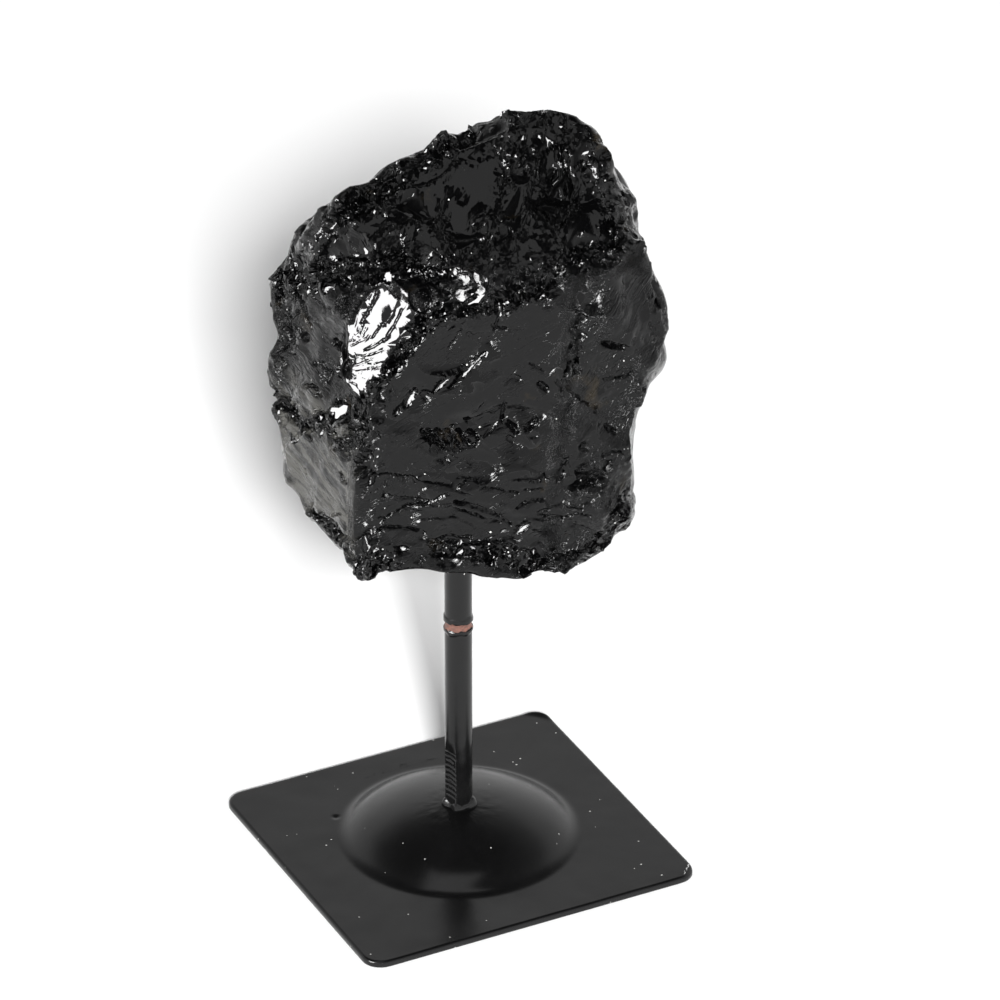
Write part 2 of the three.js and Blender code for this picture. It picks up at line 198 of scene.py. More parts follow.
FACE_LINES = (  # black lines on the bright face: half width and corners
    (0.38, ((-29.8, 38.0), (-28.7, 40.1), (-27.2, 42.2), (-26.3, 44.8))),
    (0.38, ((-29.4, 42.9), (-27.9, 44.4), (-26.4, 45.5))),
    (0.3, ((-27.5, 35.0), (-26.2, 36.7), (-24.4, 38.8), (-23.2, 40.7))),
    (0.3, (
        (-29.4, 32.3), (-27.5, 32.8), (-25.5, 34.2), (-23.6, 36.2), (-22.3, 37.6), (-21.4, 39.7),
        (-21.2, 41.4),
    )),
    (0.19, ((-31.7, 31.3), (-27.9, 31.1), (-25.3, 32.2))),
    (0.15, ((-31.1, 29.8), (-27.5, 30.2))),
    (0.15, ((-31.3, 28.5), (-26.2, 29.4))),
    (0.19, ((-31.5, 34.3), (-30.7, 37.3))),
    (0.19, ((-30.9, 34.3), (-29.6, 37.5))),
    (0.15, ((-30.0, 34.7), (-28.7, 37.1))),
    (0.19, ((-31.1, 33.2), (-29.2, 34.7))),
)
LINE_STEEPNESS = 0.7  # depth of a line to its half width
GROOVES = (  # cracks so deep that they show black: half width and corners
    (1.1, ((-17.8, 38.2), (-21.0, 32.8), (-24.7, 27.9))),
    (1.9, ((-16.9, 38.8), (-18.7, 36.0))),
    (0.35, ((-32.7, 35.4), (-32.2, 31.7), (-31.8, 26.8))),
    (0.9, ((-33.9, 41.6), (-32.8, 40.3), (-31.7, 42.9))),
    (0.8, ((-45.7, 40.7), (-44.7, 38.2), (-42.9, 36.5), (-41.0, 35.0))),
    (0.6, ((-44.4, 45.0), (-42.5, 42.7), (-41.5, 40.5), (-40.3, 39.0))),
    (0.3, ((-39.4, 43.7), (-36.9, 41.4), (-35.7, 39.9))),
    (0.6, ((-37.6, 29.4), (-36.5, 28.1))),
    (0.9, ((-34.6, 34.1), (-33.5, 33.2))),
    (0.3, ((-34.2, 29.4), (-33.7, 26.8))),
    (0.8, ((-46.6, 33.0), (-47.8, 31.3))),
    (0.5, ((-47.4, 30.2), (-46.5, 29.0))),
    (1.1, ((-48.3, 23.6), (-47.4, 21.2))),
    (0.6, ((-41.5, 24.4), (-39.2, 24.4), (-38.6, 22.5))),
    (0.5, ((-45.2, 18.9), (-42.5, 17.6))),
    (0.5, ((-41.6, 16.1), (-40.1, 13.1))),
    (0.35, ((-33.8, 6.0), (-32.4, 3.6))),
    (0.4, ((-35.3, -3.0), (-33.8, -3.1))),
    (0.9, ((-34.8, -6.9), (-32.2, -8.4))),
    (0.6, ((-40.5, -1.7), (-39.2, -3.2))),
    (0.8, ((-16.9, 15.0), (-15.0, 12.9))),
    (0.8, ((-15.4, 15.2), (-12.7, 12.2))),
    (0.9, ((-13.5, 15.0), (-10.7, 11.6))),
    (1.0, ((-11.2, 15.0), (-8.8, 11.4))),
    (0.9, ((-9.0, 15.0), (-6.9, 12.0))),
    (0.7, ((-6.6, 15.0), (-5.1, 13.3))),
    (0.6, ((-16.3, 13.7), (-12.9, 11.6), (-8.6, 10.9), (-5.6, 12.2))),
    (0.9, ((1.7, 16.7), (3.6, 14.8))),
    (0.9, ((5.8, 15.4), (7.7, 17.4))),
    (0.5, ((-9.7, 0.0), (-4.7, -0.6), (-1.1, -2.6), (2.4, -4.7))),
    (0.4, ((-8.1, -1.9), (-3.0, -3.4), (0.0, -4.3))),
    (0.3, ((-4.5, 3.2), (0.0, 2.4), (3.9, 1.7))),
    (1.4, ((15.7, 2.8), (18.9, 4.3))),
    (0.8, ((8.6, 24.9), (10.1, 24.2))),
    (0.9, ((22.3, 33.5), (26.2, 33.0))),
    (0.4, ((22.1, 26.2), (25.1, 26.4), (28.1, 27.0))),
    (0.4, ((14.4, 23.6), (17.6, 21.4), (20.6, 19.9))),
    (0.7, ((22.9, 15.7), (24.7, 14.4))),
    (0.35, ((-1.5, 37.5), (1.1, 36.9))),
    (0.3, ((6.2, 29.6), (8.8, 28.1))),
    (0.3, ((-29.4, 4.9), (-24.7, 6.0), (-20.4, 5.6), (-16.1, 4.1), (-10.7, 3.4))),
    (0.4, ((-25.7, -4.3), (-23.2, -2.4), (-19.7, -0.6), (-15.9, 0.0), (-11.4, 1.5))),
    (0.45, ((-30.9, -8.8), (-27.7, -6.4), (-24.0, -5.6), (-19.3, -5.8), (-16.1, -6.9))),
    (0.3, ((-15.0, -8.8), (-11.4, -7.3), (-6.4, -7.7))),
    (0.3, ((21.4, 9.7), (24.0, 10.7), (26.2, 10.3))),
    (0.3, ((12.9, -4.3), (16.1, -2.6), (19.3, -3.0))),
)
GROOVE_STEEPNESS = 1.4
GROOVE_WANDER = 0.35  # how far noise shifts their sides
PANELS = (  # flat grey facets on the top: place, twist, length, width
    ((11.7, 69.9), 85, 8, 4),
    ((18.0, 67.1), 80, 8, 4),
    ((-2.1, 75.7), 60, 12, 9),
    ((-6.4, 64.3), 30, 14, 11),
    ((0.9, 51.0), 5, 12, 8),
    ((9.7, 60.5), 70, 11, 7),
    ((-13.5, 67.8), 15, 16, 5),
    ((-16.1, 70.8), 25, 8, 4),
    ((-29.8, 59.8), 30, 7, 6),
    ((-29.8, 47.2), 10, 11, 4),
    ((-15.4, 55.8), -20, 11, 8),
)
PANEL_SINK = 0.5
PANEL_STEEPNESS = 0.02  # depth to width
SWELLS = (  # how the outline differs from the CAD stone: place, reach, height
    ((22.5, 74.8), 9, 1.6),
    ((28.0, 67.0), 8, 1.3),
    ((28.1, 59.2), 6, -1.2),
    ((10.0, 83.0), 10, 0.4),
    ((19.5, 80.0), 7, 0.3),
    ((-12.8, 79.5), 5, 1.6),
    ((-8.0, 79.5), 3.5, -3.0),
    ((-27.7, 68.2), 5, -1.6),
    ((-42.5, 58.5), 9, 1.0),
    ((-49.3, 19.7), 4, 1.8),
    ((-47.4, 35.0), 5, -3.2),
    ((-42.9, 1.7), 5, -1.2),
    ((-36.5, -6.4), 4, -1.4),
    ((-30.0, -17.0), 5, 1.2),
    ((8.0, -15.4), 5, -1.2),
    ((27.5, 1.5), 5, -1.6),
    ((33.2, 29.0), 5, 0.9),
    ((35.0, 42.5), 8, 0.7),
)
GROWTH = 0.8  # makes up for what is broken off
DRAWN_OUT = 0.88  # share of the length along the flow that is taken out
FRONT_PLANE = ((-22, 14), (-22, -8), (-8, 4))  # places on the front face
WIDER = 5.0  # how far the left side is brought forward, towards that plane
WIDER_EDGE = -30.5  # in full as far to the left as this
WIDER_END = -46.0  # and not at all from here on
EDGES = (  # straight edges of the CAD stone that the real stone doesn't have
    ((12.5, 33), (12.0, 20), (11.5, 0), (13, -8)),
    ((-33, 37), (-33, 24)),
)
GLINTS = (  # white marks, cut to mirror the lamp: place, twist, length, width
    ((-19.2, 21.8), 55, 3.4, 1.0),
    ((-22.0, 19.2), 66, 2.0, 0.8),
    ((-12.5, 24.8), 47, 3.4, 0.8),
    ((-6.8, 27.9), 46, 7.5, 0.6),
    ((-21.0, 29.0), 50, 3.0, 0.9),
    ((-18.6, 32.8), 45, 5.0, 1.5),
    ((-24.5, 1.5), 40, 1.5, 1.2),
    ((-21.2, -10.6), 10, 2.2, 1.0),
    ((-5.0, -9.0), 0, 1.6, 0.9),
    ((-1.2, -9.0), 38, 4.6, 0.8),
    ((5.0, -5.9), 36, 3.6, 1.0),
    ((6.8, -11.5), 80, 2.4, 1.3),
    ((10.8, -10.5), 10, 1.5, 0.9),
    ((15.2, 33.3), 15, 1.2, 0.8),
    ((-4.7, 33.0), 20, 1.0, 0.8),
    ((14.0, 8.4), 45, 1.6, 0.5),
    ((23.2, 7.6), 60, 2.0, 0.6),
    ((-44.5, 53.5), 70, 2.2, 1.4),
)
GLINT_SINK = 0.25
GLINT_STEEPNESS = 0.05
FINE_AREAS = (((-14.0, 46.5), 12.0, 5.5), ((0.0, 25.0), 18.0, 14.0), ((-4.0, -2.0), 22.0, 8.0))
LINE_EDGE = 0.32 * COARSER  # longest edge of the mesh in lines and cracks
CELL = 0.25  # the picture is split up in cells that each have a longest edge
CELLS_LOW = np.array([-54.0, -24.0])
CELL_COUNTS = (400, 460)

FACETS = 1.1  # small facets per mm where the stone is broken up
FACET_LEAN = 0.9
PAINTED_SPARKLE_CELLS = 1.2  # cells per mm, few of them with a painted sparkle: a pale speck that stands in for a glint of light
# colour of the painted sparkles, pale specks standing in for glints of light
PAINTED_SPARKLE_COLOUR = (0.55, 0.55, 0.53, 1)
# painted light: the paler colour that stands in for the light on the lower left side
PAINTED_LIT_SIDE_COLOUR = (0.085, 0.083, 0.076, 1)
PAINT = (0.003, 0.003, 0.0031)
DUST = 0.5  # cells per mm, some of them with a speck
DUST_COLOUR = (0.5, 0.5, 0.48, 1)

# The stand, in mm. Angles round the rod start at the camera and grow to the right.
PLATE_TOP = 1.5
PLATE_CORNER = 4.5
SHOULDER = 0.6  # rounding of the sheet's upper edge
BURR = 0.25  # rounding of its lower edge
DOME_RISE = 8.3
DOME_FOOT = 27.2  # radius on plan where the dome meets the flat
DOME_RIM = 24.3  # where it is steepest
DOME_SLOPES = ((0, 0), (12, 12), (20, 23), (22.5, 30), (DOME_RIM, 35), (25.5, 24), (DOME_FOOT, 0))
DOME_SHIFT = 1.2  # how far the dome lies behind the rod's axis
PLATE_HOLE = 2.6  # radius of the rings' inner end, inside the rod
FLAT_INSETS = (8, 6, 5, 4.2, 3.6, 3.1, 2.7, 2.3, 1.9, 1.5, 1.1, 0.8)  # of rings on the flat
SEGMENTS = 400
DENT = (-35.2, -68.0)  # in the picture
DENT_DEPTH = 0.25
BENT_CORNER = 3.2  # how far the worn corner reaches in from the corner's tip
BENT_DROP = 1.0
CURLED_CORNER = 4.2
CURLED_RISE = 0.5
ROD_RADIUS = 3.0
ROD_SEGMENTS = 96
BAND_HEIGHT = 56.4  # middle of the bare ring
BAND_HALF = 0.85
LIP_REACH = 2.0
LIP_RISE = 0.26
RIB_START = 12.5
RIB_END = 24.5
RIB_PITCH = 1.25
RIB_DEPTH = 0.22
FLAT_TOP = 27.0  # the ribs are on a flat that is pressed into the rod
FLAT_TURN = -48  # degrees
FLAT_DEPTH = 0.5
WELD_LUMPS = ((80, 0.9, 0.45), (-85, 0.5, 0.4), (-14, 0.35, 0.25))  # degrees, size, half width


# ---------------------------------------------------------------- materials
class Nodes:
    """Short calls that add nodes to a material or world."""

    def __init__(self, owner):
        owner.use_nodes = True
        self.tree = owner.node_tree
        self.tree.nodes.clear()

    def add(self, kind, inputs=None, **settings):
        made = self.tree.nodes.new(kind)
        for name, value in settings.items():
            setattr(made, name, value)
        for name, value in (inputs or {}).items():
            if isinstance(value, bpy.types.NodeSocket):
                self.tree.links.new(value, made.inputs[name])
            else:
                made.inputs[name].default_value = value
        return made

    def math(self, operation, a, b=0.0):
        return self.add("ShaderNodeMath", {0: a, 1: b}, operation=operation).outputs[0]

    def vector(self, operation, a, b=(0, 0, 0)):
        made = self.add("ShaderNodeVectorMath", {0: a, 1: b}, operation=operation)
        return made.outputs["Value" if operation == "DOT_PRODUCT" else "Vector"]

    def fade(self, value, low, high, to_low=0.0, to_high=1.0):
        """Value from to_low at low to to_high at high, eased and held past both."""
        inputs = {"Value": value, "From Min": low, "From Max": high, "To Min": to_low, "To Max": to_high}
        made = self.add("ShaderNodeMapRange", inputs, interpolation_type="SMOOTHSTEP")
        return made.outputs["Result"]

    def times(self, value, *others):
        """The values multiplied with each other."""
        for other in others:
            value = self.math("MULTIPLY", value, other)
        return value

    def mix(self, factor, a, b):
        return self.add("ShaderNodeMix", {0: factor, 6: a, 7: b}, data_type="RGBA").outputs[2]

    def place(self):
        """The surface's place in the object's own frame, in mm."""
        coordinates = self.add("ShaderNodeTexCoord").outputs["Object"]
        return self.vector("MULTIPLY", coordinates, (1 / MM,) * 3)

    def noise(self, place, scale, detail=2.0, **inputs):
        values = {"Vector": place, "Scale": scale, "Detail": detail, **inputs}
        return self.add("ShaderNodeTexNoise", values).outputs["Fac"]

    def cells(self, place, scale):
        """Cells of random shapes, that many per mm."""
        return self.add("ShaderNodeTexVoronoi", {"Vector": place, "Scale": scale, "Randomness": 1.0})

    def specks(self, place, scale, threshold, smallest, largest):
        """Mask of round specks, in the cells whose chance is above the threshold."""
        cells = self.cells(place, scale)
        chance = self.add("ShaderNodeSeparateColor", {"Color": cells.outputs["Color"]})
        some = self.math("GREATER_THAN", chance.outputs["Red"], threshold)
        size = self.fade(chance.outputs["Green"], 0.0, 1.0, smallest, largest)
        return self.times(some, self.math("LESS_THAN", cells.outputs["Distance"], size))

    def ragged(self, place, scale, width):
        """Noise round zero, for the ragged edge of a mask."""
        return self.times(self.math("SUBTRACT", self.noise(place, scale, 3.0), 0.5), width)

    def stored(self, name, output="Fac"):
        """Values stored in the mesh."""
        return self.add("ShaderNodeAttribute", attribute_name=name).outputs[output]

    def bump(self, height, under=None):
        """Bump with a height in mm, over another bump's normal."""
        inputs = {"Height": height, "Strength": 1.0, "Distance": MM}
        if under is not None:
            inputs["Normal"] = under
        return self.add("ShaderNodeBump", inputs).outputs["Normal"]

    def surface(self, **inputs):
        values = {name.replace("_", " "): value for name, value in inputs.items()}
        shader = self.add("ShaderNodeBsdfPrincipled", values)
        self.add("ShaderNodeOutputMaterial", {"Surface": shader.outputs["BSDF"]})


def stone_material():
    material = bpy.data.materials.new("black_tourmaline")
    n = Nodes(material)
    place = n.place()
    broken = n.stored("broken")

    # Small facets: each cell leans its own way, most where the stone is broken up.
    cells = n.cells(place, FACETS)
    centre = n.vector("DIVIDE", cells.outputs["Position"], (FACETS,) * 3)
    lean = n.vector("SUBTRACT", cells.outputs["Color"], (0.5,) * 3)
    facets = n.vector("DOT_PRODUCT", lean, n.vector("SUBTRACT", place, centre))
    facets = n.times(facets, n.times(broken, FACET_LEAN))
    normal = n.bump(facets)

    # Flow lines, drawn out along the growth of each part of the stone, in patches.
    flow = n.stored("flow", "Vector")
    lined = n.stored("lined")
    for scale, depth, patch in ((0.55, 0.09, 0.14), (1.5, 0.04, 0.2)):
        line = n.math("ABSOLUTE", n.math("SUBTRACT", n.noise(flow, scale, 3.0, Roughness=0.55), 0.5))
        line = n.fade(line, 0.0, 0.09, 1.0, 0.0)
        here = n.times(n.fade(n.noise(place, patch), 0.42, 0.58), lined)
        normal = n.bump(n.times(line, here, -depth), normal)

    # Faint waves of the glassy faces.
    waves = n.noise(place, 0.35, 3.0, Roughness=0.45, Distortion=0.4)
    normal = n.bump(n.times(waves, 0.025), normal)

    # Painted sparkles: pale specks in the colour that stand in for glints of light, most where the stone is
    # broken up.
    painted_sparkle = n.specks(place, PAINTED_SPARKLE_CELLS, n.fade(broken, 0.1, 0.8, 0.992, 0.9), 0.1, 0.24)

    brown = n.fade(n.noise(place, 0.09, 4.0, Roughness=0.6), 0.62, 0.72)
    colour = n.mix(brown, (0.0012, 0.0012, 0.0013, 1), (0.012, 0.009, 0.005, 1))
    # Painted light: the lower left side is painted paler in streaks, standing in for the light that falls
    # on it.
    painted_lit_side = n.stored("painted_lit_side")
    streaky = n.fade(n.noise(flow, 0.45, 4.0, Roughness=0.6), 0.42, 0.58)
    colour = n.mix(n.times(painted_lit_side, streaky), colour, PAINTED_LIT_SIDE_COLOUR)
    # the painted sparkles go over the stone's colour
    colour = n.mix(painted_sparkle, colour, PAINTED_SPARKLE_COLOUR)
    polish = n.noise(place, 0.6, 5.0, Roughness=0.6)
    roughness = n.fade(polish, 0.45, 0.75, 0.03, 0.13)
    n.surface(Base_Color=colour, Roughness=roughness, Normal=normal, IOR=1.37)
    return material


def paint_material(name, bare=None):
    """Satin black paint with specks of dust. Bare gives the mask and colour of what shows through it."""
    material = bpy.data.materials.new(name)
    n = Nodes(material)
    place = n.place()
    orange_peel = n.noise(place, 1.1, 3.0, Roughness=0.5)
    normal = n.bump(n.times(orange_peel, 0.008))
    cloud = n.noise(place, 0.06, 4.0, Roughness=0.6)
    roughness = n.fade(cloud, 0.35, 0.65, 0.19, 0.26)
    dust = n.specks(place, DUST, 0.86, 0.05, 0.11)
    tone = n.fade(n.noise(place, 0.15, 4.0, Roughness=0.6), 0.3, 0.7, 0.85, 1.15)
    grey = n.add("ShaderNodeCombineXYZ", {0: tone, 1: tone, 2: tone}).outputs[0]
    colour = n.vector("MULTIPLY", grey, PAINT)
    if bare is not None:
        mask, metal = bare(n, place)
        colour = n.mix(mask, colour, metal)
        roughness = n.math("ADD", roughness, n.times(mask, 0.25))
    colour = n.mix(dust, colour, DUST_COLOUR)
    n.surface(Base_Color=colour, Roughness=roughness, Normal=normal, IOR=1.43)
    return material


def bare_ring(n, place):
    """Copper-brown metal between the ragged edges of the paint."""
    height = n.add("ShaderNodeSeparateXYZ", {"Vector": place}).outputs["Z"]
    ragged = n.ragged(place, 0.9, 1.5)
    away = n.math("ABSOLUTE", n.math("ADD", n.math("SUBTRACT", height, BAND_HEIGHT), ragged))
    mask = n.fade(away, BAND_HALF - 0.15, BAND_HALF + 0.05, 1.0, 0.0)
    stain = n.fade(n.noise(place, 1.6, 4.0, Roughness=0.7), 0.35, 0.65)
    metal = n.mix(stain, (0.2, 0.085, 0.062, 1), (0.1, 0.052, 0.042, 1))
    return mask, metal


def worn_edge(n, place):
    """Bright steel where the bent corner has rubbed."""
    tip = (cad_plate_high[0], cad_plate_low[1], PLATE_TOP)
    offset = n.vector("SUBTRACT", place, tip)
    inward = n.vector("DOT_PRODUCT", offset, (-math.sqrt(0.5), math.sqrt(0.5), 0))
    along = n.vector("DOT_PRODUCT", offset, (math.sqrt(0.5), math.sqrt(0.5), 0))
    ragged = n.ragged(place, 1.2, 1.2)
    away = n.math("ABSOLUTE", n.math("ADD", n.math("SUBTRACT", inward, BENT_CORNER), ragged))
    mask = n.fade(away, 0.08, 0.2, 1.0, 0.0)
    reach = n.fade(n.math("ABSOLUTE", n.math("SUBTRACT", along, 0.6)), 1.6, 2.4, 1.0, 0.0)
    patches = n.fade(n.noise(place, 2.5), 0.42, 0.55)
    return n.times(mask, reach, patches), (0.5, 0.5, 0.5, 1)


# ---------------------------------------------------------------- noise
def cell_random(cells, salt):
    """Random numbers from 0 to 1 for cells with whole-numbered places, the same in every run."""
    mixed = (cells @ np.array([73856093, 19349663, 83492791]) + salt * 49979687) & WORD
    for _ in range(2):
        mixed = ((mixed ^ (mixed >> 16)) * 73244475) & WORD
    return (mixed ^ (mixed >> 16)) / (WORD + 1)


def noise(points, size, salt):
    """Smooth noise from about -1 to 1, with lumps of that size in mm."""
    scaled = points / size
    cell = np.floor(scaled).astype(np.int64)
    inside = scaled - cell
    smooth = inside**3 * (inside * (inside * 6 - 15) + 10)
    total = np.zeros(len(points))
    for corner in itertools.product((0, 1), repeat=3):
        slope = np.stack([cell_random(cell + corner, salt + k) for k in range(3)], axis=1) * 2 - 1
        weight = np.prod(np.where(corner, smooth, 1 - smooth), axis=1)
        total += weight * np.einsum("ij,ij->i", slope, inside - corner)
    return total * 1.6


def layered(points, size, salt, layers=3):
    """Noise with finer and fainter noise on it."""
    return sum(noise(points, size / 2**k, salt + 10 * k) / 2**k for k in range(layers))


def ease(value, low, high):
    """0 up to low, 1 from high on, and a smooth rise between them."""
    t = np.clip((value - low) / (high - low), 0, 1)
    return t * t * (3 - 2 * t)


# ---------------------------------------------------------------- mesh arithmetic
def unit(vectors):
    return vectors / np.maximum(np.linalg.norm(vectors, axis=-1, keepdims=True), 1e-12)


def face_normals(points, faces):
    """A vector along each face's normal, twice as long as the face's area."""
    a, b, c = (points[faces[:, k]] for k in range(3))
    return np.cross(b - a, c - a)


def summed(places, values, count):
    """Sums of the vectors that belong to each place."""
    return np.stack([np.bincount(places, values[:, k], count) for k in range(3)], axis=1)


def point_normals(points, faces):
    normals = np.repeat(face_normals(points, faces), 3, axis=0)
    return unit(summed(faces.ravel(), normals, len(points)))


def blurred(values, faces, rounds):
    """Vectors at the points, averaged with their neighbours' again and again."""
    start, end = faces.ravel(), np.roll(faces, -1, axis=1).ravel()
    degree = np.bincount(start, minlength=len(values))[:, None]
    for _ in range(rounds):
        values = summed(start, values[end], len(values)) / degree
    return values


def subdivided(points, faces, longest):
    """Halves the edges that are longer than longest(points, faces) gives for their faces."""
    for _ in range(HALVINGS):
        ends = np.sort(np.stack([faces, np.roll(faces, -1, axis=1)], axis=2).reshape(-1, 2), axis=1)
        edges, edge_of = np.unique(ends, axis=0, return_inverse=True)
        limit = np.full(len(edges), np.inf)
        np.minimum.at(limit, edge_of.ravel(), np.repeat(longest(points, faces), 3))
        length = np.linalg.norm(points[edges[:, 0]] - points[edges[:, 1]], axis=1)
        split = length > limit
        if not split.any():
            break
        middle = np.full(len(edges), -1)
        middle[split] = len(points) + np.arange(split.sum())
        points = np.concatenate([points, points[edges[split]].mean(axis=1)])
        faces = split_faces(points, faces, middle[edge_of.ravel()].reshape(-1, 3))
    return points, faces


def split_faces(points, faces, middles):
    """The faces cut up at the middles of their edges, -1 where an edge stays whole."""
    made = []
    cuts = (middles >= 0).sum(axis=1)
    made.append(faces[cuts == 0])
    for turn in range(3):
        a, b, c = (np.roll(faces, -turn, axis=1)[:, k] for k in range(3))
        ab, bc, ca = (np.roll(middles, -turn, axis=1)[:, k] for k in range(3))
        one = (cuts == 1) & (ab >= 0)
        made += [stacked(one, a, ab, c), stacked(one, ab, b, c)]
        two = (cuts == 2) & (ca < 0)
        made.append(stacked(two, ab, b, bc))
        shorter = np.zeros(len(faces), bool)
        to_ab = np.linalg.norm(points[ab[two]] - points[c[two]], axis=1)
        to_bc = np.linalg.norm(points[bc[two]] - points[a[two]], axis=1)
        shorter[two] = to_ab < to_bc
        made += [stacked(two & shorter, a, ab, c), stacked(two & shorter, ab, bc, c)]
        made += [stacked(two & ~shorter, a, ab, bc), stacked(two & ~shorter, a, bc, c)]
        three = cuts == 3
        made.append(stacked(three, a, ab, ca))
    made.append(middles[cuts == 3])
    return np.concatenate(made)


def stacked(chosen, *corners):
    """Faces with these corners, for the chosen ones."""
    return np.stack([corner[chosen] for corner in corners], axis=1)


def cad_stone():
    """The CAD stone: its corners in mm, its triangles, and places along its sharp outer edges."""
    bm = bmesh.new()
    bm.from_mesh(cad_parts["stone"].data)
    bmesh.ops.remove_doubles(bm, verts=bm.verts, dist=1e-6)
    bmesh.ops.triangulate(bm, faces=bm.faces)
    points = np.array([v.co for v in bm.verts]) / MM
    faces = np.array([[v.index for v in f.verts] for f in bm.faces])
    ridges = []
    for edge in bm.edges:
        if edge.is_manifold and edge.calc_face_angle_signed() > RIDGE_ANGLE:
            start, end = (points[v.index] for v in edge.verts)
            steps = int(np.linalg.norm(end - start) / RIDGE_STEP) + 1
            ridges += [start + (end - start) * k / steps for k in range(steps)]
    bm.free()
    return points, faces, np.array(ridges)


# ---------------------------------------------------------------- stone
def polyline_distance(across, up, line):
    """Distance in the picture from places to a line through the given corners."""
    nearest = np.full(len(across), np.inf)
    for (x0, y0), (x1, y1) in itertools.pairwise(line):
        dx, dy = x1 - x0, y1 - y0
        t = np.clip(((across - x0) * dx + (up - y0) * dy) / (dx * dx + dy * dy), 0, 1)
        nearest = np.minimum(nearest, np.hypot(across - x0 - t * dx, up - y0 - t * dy))
    return nearest


def depth_inside(across, up, corners):
    """Distance in the picture from places to a polygon's outline, negative outside it."""
    outline = (*corners, corners[0])
    within = np.zeros(len(across), bool)
    for (x0, y0), (x1, y1) in itertools.pairwise(outline):
        crosses = (y0 > up) != (y1 > up)
        within ^= crosses & (across < x0 + (up - y0) * (x1 - x0) / ((y1 - y0) or 1))
    return np.where(within, 1, -1) * polyline_distance(across, up, outline)


def oval(across, up, middle, half_width, half_height, turn=0.0):
    """Below 1 inside an oval of the picture, 1 on its rim and more outside."""
    x, y = across - middle[0], up - middle[1]
    c, s = math.cos(math.radians(turn)), math.sin(math.radians(turn))
    return np.hypot((c * x + s * y) / half_width, (c * y - s * x) / half_height)


class Rock:
    """The stone's mesh while it is being broken."""

    def __init__(self, points, faces, ridges):
        self.points, self.faces = points, faces
        self.order = np.argsort(points[:, 2])
        self.heights = points[self.order, 2]
        self.normals = unit(blurred(point_normals(points, faces), faces, NORMAL_ROUNDS))
        self.facing = self.normals @ BACK
        self.across, self.up = in_picture(points)
        self.seen = ease(self.facing, -0.1, 0.1)
        area = np.repeat(np.linalg.norm(face_normals(points, faces), axis=1), 3)
        self.area = np.bincount(faces.ravel(), area, len(points))
        self.soften(ridges)
        swell = np.full(len(points), GROWTH)
        for (x, y), reach, height in SWELLS:
            swell += height * (1 - ease(np.hypot(self.across - x, self.up - y), 0, reach))
        self.raise_by(swell)
        self.random = np.random.default_rng(SEED)

    def soften(self, ridges):
        """Rounds off the ridges, and the straight edges that the real stone doesn't have."""
        tree = KDTree(len(ridges))
        for k, place in enumerate(ridges):
            tree.insert(place, k)
        tree.balance()
        distance = np.array([tree.find(place)[2] for place in self.points])
        self.ridge = 1 - ease(distance, *RIDGE_REACH)
        edges = np.min([polyline_distance(self.across, self.up, line) for line in EDGES], axis=0)
        edge = self.seen * (1 - ease(edges, *EDGE_REACH))
        for weight, rounds in ((self.ridge, RIDGE_ROUNDS), (edge, EDGE_ROUNDS)):
            rounded = blurred(self.points, self.faces, rounds)
            self.points = self.points + weight[:, None] * (rounded - self.points)

    def near(self, centre, reach):
        """Numbers of the points about as close to the centre as the reach."""
        low, high = np.searchsorted(self.heights, [centre[2] - reach - 1, centre[2] + reach + 1])
        some = self.order[low:high]
        offset = self.points[some] - centre
        return some[np.einsum("ij,ij->i", offset, offset) < reach * reach]

    def cut(self, centre, normal, along, length, width, depth):
        """Cuts an oval bowl: points that stand inside it go straight down onto its wall."""
        near = self.near(centre, 0.8 * max(length, width) + depth)
        offset = self.points[near] - centre
        side = np.cross(normal, along)
        out = (offset @ along / (length / 2)) ** 2 + (offset @ side / (width / 2)) ** 2
        wall = BALL - BOWL_SAG - np.sqrt(np.maximum(BALL * BALL - out, 0))
        over = (offset @ normal) * (BOWL_SAG / depth) - wall
        over = np.where(out < BALL * BALL, np.maximum(over, 0), 0)
        self.points[near] -= np.minimum(over * depth / BOWL_SAG, DEEPEST_CUT)[:, None] * normal

    def cut_at_random(self, weight, bowls, twist=None, facing=None):
        """Cuts bowls of random sizes, most where the weight is greatest."""
        random = self.random
        places = random.choice(len(self.points), bowls.count, p=weight / weight.sum())
        for place in places:
            normal = self.normals[place] if facing is None else facing
            normal = unit(normal + random.normal(0, bowls.tilt, 3))
            angle = random.uniform(0, 180) if twist is None else random.normal(twist, TWIST_SPREAD)
            length = random.uniform(*bowls.length)
            width = length * random.uniform(*bowls.slimness)
            depth = width / 2 * random.uniform(*bowls.steepness)
            along = on_surface(angle, normal)
            self.cut(self.points[place].copy(), normal, along, length, width, depth)

    def calm_outline(self):
        """Rubs down spikes that would stand out against the background."""
        side_on = (1 - ease(np.abs(self.facing), *SIDE_ON))[:, None]
        calmed = blurred(self.points, self.faces, OUTLINE_ROUNDS)
        self.points += CALMING * side_on * (calmed - self.points)

    def raise_by(self, height):
        """Moves the points out along their normals."""
        self.points += height[:, None] * self.normals


def on_surface(angle, normal):
    """Direction along a surface that shows in the picture at that angle from across to up."""
    shown = math.cos(math.radians(angle)) * RIGHT + math.sin(math.radians(angle)) * UP
    if abs(normal @ BACK) > 0.2:
        shown = shown - BACK * (shown @ normal) / (normal @ BACK)
    else:
        shown = shown - normal * (shown @ normal)
    return unit(shown)


Zones = collections.namedtuple("Zones", "belt calm loose inner top near_lamp")


